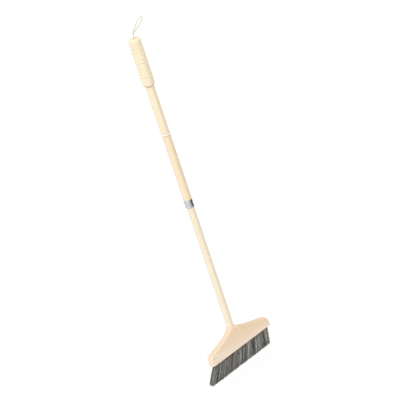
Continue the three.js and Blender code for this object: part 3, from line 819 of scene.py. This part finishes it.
def block_outline(half):
    """One side of the block's front view from the underside to the neck, as (distance from the pole, z)."""
    s = sizes()
    neck = s.neck_width / 2
    shoulder = half * s.shoulder_share
    reach = half * s.flare_reach
    back = (half - shoulder) * s.shoulder_pull
    end = [
        (half, s.end_rise),
        (half, s.end_rise + s.end_round),
        (shoulder + back, s.shoulder_rise - s.flare_slope * back),
        (shoulder, s.shoulder_rise),
    ]
    flare = [
        (shoulder, s.shoulder_rise),
        (shoulder - reach, s.shoulder_rise + reach * s.flare_slope),
        (neck + s.neck_splay, s.head_height - s.neck_flare),
        (neck, s.head_height),
    ]
    rise = np.linspace(0, s.end_rise, END_ROWS, endpoint=False)
    straight = np.stack([np.full(END_ROWS, half), rise], 1)
    return np.vstack([straight, bezier(end, SHOULDER_ROWS)[:-1], bezier(flare, FLARE_ROWS)])


def rings_of_sides(right, left, y):
    """Level rings from the half widths to the right and left at the places y: right, back, left, front."""
    share = np.linspace(1, 0, FACE_COLUMNS + 2)[1:-1]
    back = right[:, -1:] * share - left[:, -1:] * (1 - share)
    front = right[:, :1] * share[::-1] - left[:, :1] * (1 - share[::-1])
    strips = ((right, y), (back, y[-1]), (-left[:, ::-1], y[::-1]), (front, y[0]))
    return np.concatenate([np.stack([x, np.broadcast_to(deep, x.shape)], -1) for x, deep in strips], 1)


def at_heights(rings, z):
    """Level rings with a height each, in the block's own frame."""
    return np.concatenate([rings, np.broadcast_to(z[:, None, None], (*rings.shape[:2], 1))], -1)


def rounded_side(x, z, y):
    """Half width of the block at each height and depth: the outline less the rounding of its rim.

    The rounding takes e - sqrt(e^2 - d^2) off square to the rim, where d is how far y is into the edge."""
    s = sizes()
    slope = np.gradient(x) / np.maximum(np.gradient(z), 1e-6)
    stretch = np.sqrt(1 + np.minimum(slope**2, STEEPEST))[:, None]
    start = s.end_rise / 2
    ease = smooth((z - start) / (s.shoulder_rise - start))[:, None]
    edge = s.plan_radius + (s.head_edge - s.plan_radius) * ease
    into = np.clip(np.abs(y)[None] - (s.head_depth / 2 - edge), 0, edge)
    inset = (edge - np.sqrt(edge**2 - into**2)) * stretch
    return np.maximum(x[:, None] - inset, 0)


def block_rings():
    """Skin of the block: down out of the pocket, up over the outside, round at the neck, down the tenon hole.

    The neck stands on the pole, a little to the left of the block's middle, which is at x = 0."""
    s = sizes()
    half = s.head_depth / 2
    y = -half * np.cos(np.linspace(0, math.pi, RIM_COLUMNS))
    right = block_outline(s.head_width / 2 - POLE_X)
    left = block_outline(s.head_width / 2 + POLE_X)
    z = right[:, 1]
    left_x = np.interp(z, left[:, 1], left[:, 0])
    ring = rings_of_sides(rounded_side(right[:, 0], z, y), rounded_side(left_x, z, y), y)
    rows = from_block(at_heights(ring + [POLE_X, 0], z))
    angle = np.arctan2(ring[-1, :, 1], ring[-1, :, 0])
    drop = (s.head_height - z)[:, None]
    radius = s.neck_diameter / 2 + NECK_SWELL * (drop / SWELL_DROP) ** 2
    share = smooth(1 - drop / s.neck_round)[..., None]
    outside = rows * (1 - share) + circles(radius, NECK_Z - drop, angle) * share
    pocket_side = np.full((2, len(y)), s.head_width / 2 - s.row_end_wall + GAP)
    pocket = rings_of_sides(pocket_side, pocket_side, y * (1 - s.row_wall / half))
    pocket_top = s.backing + s.tuft_wire + 3 * GAP
    hole_foot = np.array([[NECK_Z], [level("lower_pole", 0) - GAP]])
    hole = circles(np.full((2, 1), s.tenon_diameter / 2 + GAP), hole_foot, angle)
    return np.concatenate([from_block(at_heights(pocket, np.array([pocket_top, 0.0]))), outside, hole])


class BROOM_OT_head(bpy.types.Operator):
    """Flared block with its round neck, and the pin through it."""

    bl_idname = "broom.head"
    bl_label = "Head block"

    def execute(self, context):
        finish = board_wood("block_wood", colours().head_wood)
        skin = lofted(block_rings())
        piece("flared_block", skin, finish, "head", "head_block", sharp=BLOCK_SHARP)
        repaint("neck_pin", turned_wood("pin_wood", colours().lower_wood, 12.3))
        return {"FINISHED"}


ROWS, SEED = 4, 7

# Points of a hair from root to tip, and its thickness there.
HAIR_SHARES = np.array([0.0, 0.5, 1.0])
HAIR_TAPER = np.array([1.0, 0.95, 0.5])

# Stagger of the tufts in their step; spread of a tuft, along the row in its step and across it in the row's
# depth; and spread of a lock in its tuft.
TUFT_STAGGER = 0.18
TUFT_SPREAD = np.array([0.42, 0.22])
LOCK_SPREAD = 0.14

# Movement of the tips along the row and across it: outwards in a tuft, by the lock's lean, and by the hair.
TUFT_SPLAY = np.array([1.8, 1.0]) * MM
LOCK_LEAN = np.array([2.2, 1.2]) * MM
HAIR_SPLAY = 0.7 * MM

# Bend of a lock and of a hair at the middle, the gamma spread of the wear at the tips, and the share of what
# passes the row's ends that is drawn back.
LOCK_BOW, HAIR_BOW = 1.0 * MM, 0.5 * MM
TIP_WEAR = 1.5, 0.8 * MM
DRAWN_BACK = 0.75

# Beta spreads of the tones of locks and of hairs, and the share of the lock in a hair's tone.
LOCK_TONES = 0.4, 0.7
HAIR_TONES = 1.4, 1.8
LOCK_SHARE = 0.9
BACKING_TONE = 0.1


def row_strip(row):
    """Half length, middle and depth of a row's strip of backing, with a gap to its neighbours."""
    s = sizes()
    depth = (s.head_depth - 2 * (s.row_wall + GAP) - (ROWS - 1) * GAP) / ROWS
    inset = s.outer_row_inset if row in (0, ROWS - 1) else 0
    return s.head_width / 2 - s.row_end_wall - inset, (row - (ROWS - 1) / 2) * (depth + GAP), depth


def tuft_places(half, middle, depth):
    """Middles of a row's tufts, in two staggered lines, and the step between tufts."""
    tufts = sizes().tufts
    step = 2 * half / tufts
    column = np.arange(tufts)
    stagger = np.where(column < tufts / 2, -TUFT_STAGGER, TUFT_STAGGER)
    x = np.concatenate([-half + (column + 0.5 + sign * stagger) * step for sign in (1, -1)])
    y = np.repeat([middle - depth / 4, middle + depth / 4], tufts)
    return np.stack([x, y], 1), step


def hair_reach(root, splay, half, rng):
    """Length of each hair: cut square to the sweep, above the floor, shortened at random at its tip by use,
    and less at the corners.
    """
    s = sizes()
    square = s.bristle_length - (root[:, 1] + s.head_depth / 2) * math.sin(s.bristle_sweep)
    lift = NECK_Z - s.head_height * math.cos(s.head_tilt)
    lift = lift - (root[:, 1] + splay[:, 1]) * math.sin(s.head_tilt)
    to_floor = lift / math.cos(s.bristle_sweep - s.head_tilt)
    corner = np.clip((np.abs(root[:, 0]) - half) / s.corner_run + 1, 0, 1)
    return np.minimum(square, to_floor) - rng.gamma(*TIP_WEAR, len(root)) - s.corner_cut * corner**2


def hair_lines(row, rng):
    """Root, middle and tip of each hair of a row in the block's own frame, and the tone of its lock.

    A hair leaves its root along the sweep, x grows by the fan, and the splay of its tuft, the lean of its
    lock and its own splay add up to the tip. Hairs that pass the row's ends are drawn back to their line."""
    s = sizes()
    half, middle, depth = row_strip(row)
    tufts, step = tuft_places(half, middle, depth)
    count = len(tufts) * s.hairs
    locks = count // s.lock_hairs
    lock = np.repeat(np.arange(locks), s.lock_hairs)
    lock_tone = rng.beta(*LOCK_TONES, locks)[lock]
    lock_lean = rng.normal(0, 1, (locks, 2))[lock]
    spin, reach = rng.uniform(0, TURN, locks), np.sqrt(rng.uniform(0, 1, locks))
    place = (np.stack([np.cos(spin), np.sin(spin)], 1) * reach[:, None])[lock]
    place = place + rng.normal(0, LOCK_SPREAD, (count, 2))
    root = np.repeat(tufts, s.hairs, axis=0) + place * (TUFT_SPREAD * [step, depth])
    splay = place * TUFT_SPLAY + lock_lean * LOCK_LEAN
    splay += rng.normal(0, HAIR_SPLAY, (count, 2))
    bow = rng.normal(0, LOCK_BOW, (locks, 2))[lock] + rng.normal(0, HAIR_BOW, (count, 2))
    along = hair_reach(root, splay, half, rng)[:, None] * HAIR_SHARES
    bent = HAIR_SHARES == 0.5
    fan = 1 + s.bristle_fan * along / s.bristle_length
    x = root[:, :1] * fan + splay[:, :1] * HAIR_SHARES + bow[:, :1] * bent
    x -= np.sign(x) * np.maximum(np.abs(x) - half * fan, 0) * DRAWN_BACK
    back = along * math.sin(s.bristle_sweep)
    y = root[:, 1:] + back + splay[:, 1:] * HAIR_SHARES + bow[:, 1:] * bent
    return np.stack([x, y, GAP - along * math.cos(s.bristle_sweep)], -1), lock_tone


def bristle_skin(row, rng):
    """One row of three-sided hairs and its strip of backing as one skin, with each point's tone and height.

    A hair is three triangles of points, at its root, middle and tip, joined by six quads and closed."""
    s = sizes()
    half, middle, depth = row_strip(row)
    line, lock_tone = hair_lines(row, rng)
    count = len(line)
    wide = s.strand_width / 2 * HAIR_TAPER
    angle = rng.uniform(0, TURN, count)[:, None] + TURN * np.arange(3) / 3
    offset = np.stack([np.cos(angle), np.sin(angle), 0 * angle], -1)
    points = line[:, :, None] + wide[:, None, None] * offset[:, None]
    base = 9 * np.arange(count)[:, None, None]
    corner, after = np.arange(3), (np.arange(3) + 1) % 3
    quad = np.stack([corner, after, after + 3, corner + 3], -1)
    quads = (base + np.concatenate([quad, quad + 3])[None]).reshape(-1, 4)
    ends = (base + np.array([[0, 2, 1], [6, 7, 8]])[None]).reshape(-1, 3)
    tone = LOCK_SHARE * lock_tone + (1 - LOCK_SHARE) * rng.beta(*HAIR_TONES, count)
    corners = np.array([[i, j, k] for i in (-1, 1) for j in (-1, 1) for k in (0, 1)], float)
    strip = corners * [half, depth / 2, s.backing] + [0, middle, GAP]
    sides = [[0, 1, 3, 2], [4, 6, 7, 5], [0, 4, 5, 1], [2, 3, 7, 6], [0, 2, 6, 4], [1, 5, 7, 3]]
    quads = np.vstack([quads, np.array(sides) + 9 * count])
    skin = from_block(np.vstack([points.reshape(-1, 3), strip])), quads, ends
    attributes = {
        "tone": np.concatenate([np.repeat(tone, 9), np.full(len(strip), BACKING_TONE)]),
        "along": np.concatenate([np.tile(np.repeat(HAIR_SHARES, 3), count), np.zeros(len(strip))]),
    }
    return skin, attributes


class BROOM_OT_bristles(bpy.types.Operator):
    """Four rows of soft mixed hair, and the wires that hold their tufts."""

    bl_idname = "broom.bristles"
    bl_label = "Bristles"

    def execute(self, context):
        c = colours()
        finish = hair("mixed_hair", c.bristle_dark, c.bristle_light, c.bristle_root_shade)
        wire = drawn_metal("tuft_wire", c.brass, 0.3)
        rng = np.random.default_rng(SEED)
        for row in range(ROWS):
            skin, attributes = bristle_skin(row, rng)
            node = f"bristle_row_{row + 1}"
            piece(f"hair_row_{row + 1}", skin, finish, "head", node, attributes, HAIR_SHARP)
            repaint(f"tuft_wire_{row + 1}", wire)
        return {"FINISHED"}


def camera_matrix(eye, target, roll):
    """Camera at eye that looks at target, rolled so that upright things lean left at the top."""
    forward = (target - eye).normalized()
    level_right = forward.cross(Vector((0, 0, 1))).normalized()
    right = Matrix.Rotation(roll, 3, forward) @ level_right
    up = right.cross(forward)
    turn = Matrix((right, up, -forward)).transposed().to_4x4()
    return Matrix.Translation(eye) @ turn


def seen_as_white(finish):
    """1 for rays from the camera, from mirrors and through glass, else 0."""
    path = "LightPath"
    seen = finish.node(path, out=0) + finish.node(path, out=3) + finish.node(path, out=6)
    return finish.spread(seen, 0, 1)


# Camera's sensor in millimetres, focal length and width of the frame in pixels; its place and its target,
# measured from the top of the neck; and its roll in degrees.
SENSOR, FOCAL, FRAME = 36, 1680, 400
EYE, TARGET, ROLL = (-2.35128, -3.712063, 2.625706), (0.048, 0.012697, 0.418386), 18.38

# Light of the room where it isn't seen itself, share of the floor that is plain white to the camera, and the
# floor's distance under the bristles, which leaves room for the lower joint's travel.
ROOM_LIGHT, FLOOR_WHITE, FLOOR_DROP = 0.76, 0.93, 26 * MM


class BROOM_OT_stage(bpy.types.Operator):
    """Camera, white floor, soft light from the left, a weak one from the right, and cards for the steel."""

    bl_idname = "broom.stage"
    bl_label = "Stage"

    def execute(self, context):
        scene = context.scene
        scene.view_settings.view_transform = "Standard"
        lens = bpy.data.cameras.new("photo_camera")
        lens.sensor_width = SENSOR
        lens.lens = SENSOR * FOCAL / FRAME
        lens.clip_end = 100
        camera = placed("photo_camera", lens)
        neck = Vector((POLE_X, POLE_Y, NECK_Z))
        camera.matrix_world = camera_matrix(neck + Vector(EYE), neck + Vector(TARGET), math.radians(ROLL))
        scene.camera = camera

        world = bpy.data.worlds.new("white_room")
        scene.world = world
        f = Finish(world)
        strength = ROOM_LIGHT + seen_as_white(f) * (1 - ROOM_LIGHT)
        light = f.node("Background", {}, {"Color": (1, 1, 1, 1), "Strength": strength})
        f.node("OutputWorld", {}, {"Surface": light})

        floor = Vector((0, 0, -FLOOR_DROP))
        self.plate("floor", (14, 14), floor, Matrix.Identity(3), self.floor_finish())
        cards = (
            ("dark_card", 0.01, (1.2, 3.1), (0.6, -1.5, 0.3), "Y"),
            ("grey_card", 0.72, (0.8, 0.9), (-0.35, 0.6, 0.3), "X"),
            ("front_card", 0.42, (0.47, 0.6), (-0.05, -0.7, 0.2), "X"),
        )
        for name, grey, size, place, axis in cards:
            upright = Matrix.Rotation(math.pi / 2, 3, axis)
            card = self.plate(name, size, Vector(place), upright, self.card_finish(name, grey))
            for kind in ("camera", "diffuse", "shadow", "transmission", "volume_scatter"):
                setattr(card, "visible_" + kind, False)

        self.sun("key_light", (-0.62, -0.2, 0.76), 1.15, 25)
        self.sun("fill_light", (-0.6, -0.75, 0.3), 0.45, 50)
        self.sun("right_light", (0.8, -0.5, 0.2), 0.25, 60)
        return {"FINISHED"}

    def plate(self, name, size, place, turn, finish):
        """Flat plate of the stage."""
        wide, deep = size[0] / 2, size[1] / 2
        flat = ((-wide, -deep), (wide, -deep), (wide, deep), (-wide, deep))
        corners = [turn @ Vector((x, y, 0)) + place for x, y in flat]
        mesh = bpy.data.meshes.new(name)
        mesh.from_pydata(corners, [], [(0, 1, 2, 3)])
        mesh.materials.append(finish)
        made = placed(name, mesh)
        return made

    def floor_finish(self):
        """White floor that the camera sees almost without shade."""
        f = material("white_floor")
        shade_part = f.node("BsdfDiffuse", {}, {"Color": (0.6, 0.6, 0.6, 1)})
        white = f.node("Emission", {}, {"Color": (1, 1, 1, 1), "Strength": 1.03})
        mixed = f.node("MixShader", {}, {0: seen_as_white(f) * FLOOR_WHITE, 1: shade_part, 2: white})
        f.node("OutputMaterial", {}, {"Surface": mixed})
        return f.owner

    def card_finish(self, name, grey):
        """Card of one grey, the same from all sides."""
        f = material(name)
        f.node("OutputMaterial", {}, {"Surface": f.node("Emission", {}, {"Color": (grey, grey, grey, 1)})})
        return f.owner

    def sun(self, name, towards, strength, spread):
        """Far soft lamp that shines from a direction."""
        lamp = bpy.data.lights.new(name, "SUN")
        lamp.energy = strength
        lamp.angle = math.radians(spread)
        placed(name, lamp).rotation_euler = Vector(towards).to_track_quat("Z", "Y").to_euler()


class BROOM_PT_panel(bpy.types.Panel):
    """Sidebar panel with the broom's pieces, sizes and colours."""

    bl_idname = "BROOM_PT_panel"
    bl_label = "Soft Bristle Broom"
    bl_space_type = "VIEW_3D"
    bl_region_type = "UI"
    bl_category = "Broom"

    def draw(self, context):
        for operator in OPERATORS:
            self.layout.operator(operator.bl_idname)
        for group in (sizes(), colours()):
            column = self.layout.column()
            for key in group.__annotations__:
                column.prop(group, key)


OPERATORS = (
    BROOM_OT_stage,
    BROOM_OT_cord,
    BROOM_OT_grip,
    BROOM_OT_poles,
    BROOM_OT_joints,
    BROOM_OT_head,
    BROOM_OT_bristles,
)
CLASSES = (BroomSizes, BroomColours, *OPERATORS, BROOM_PT_panel)


def register():
    for cls in CLASSES:
        bpy.utils.register_class(cls)
    bpy.types.Scene.broom_sizes = PointerProperty(type=BroomSizes)
    bpy.types.Scene.broom_colours = PointerProperty(type=BroomColours)


def unregister():
    del bpy.types.Scene.broom_colours
    del bpy.types.Scene.broom_sizes
    for cls in reversed(CLASSES):
        bpy.utils.unregister_class(cls)


def main():
    register()
    bpy.ops.broom.stage()
    bpy.ops.broom.cord()
    bpy.ops.broom.grip()
    bpy.ops.broom.poles()
    bpy.ops.broom.joints()
    bpy.ops.broom.head()
    bpy.ops.broom.bristles()


if __name__ == "__main__":
    main()
